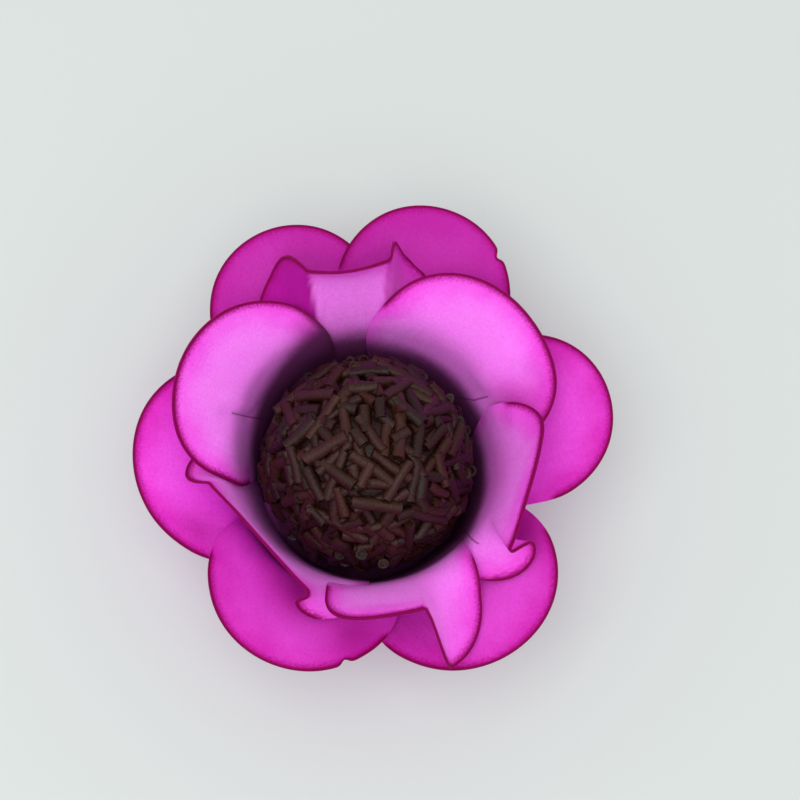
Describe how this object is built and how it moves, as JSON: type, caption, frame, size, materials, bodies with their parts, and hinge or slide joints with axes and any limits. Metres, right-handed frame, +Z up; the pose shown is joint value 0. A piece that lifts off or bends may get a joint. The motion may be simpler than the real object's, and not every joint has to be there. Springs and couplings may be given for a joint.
{
  "type": "paper flower candy cup",
  "caption": "Paper flower cup for one sweet: two nested layers of formed card petals around a round well that holds a ball coated in chocolate sprinkles.",
  "frame": {"origin": "middle of the underside of the outer layer's flat base, on the well's axis", "axes": "+Z up along the well's axis, out of the mouth; +Y towards the saddle-shaped inner petal, which is at the top of the picture"},
  "size_m": [0.0697, 0.0693, 0.0393],
  "materials": {
    "outer_card": "matte",
    "inner_card": "matte",
    "chocolate": "satin"
  },
  "bodies": {
    "root": {"outer_petals": "outer_card", "inner_petals": "inner_card", "candy": "chocolate"}
  },
  "joints": []
}
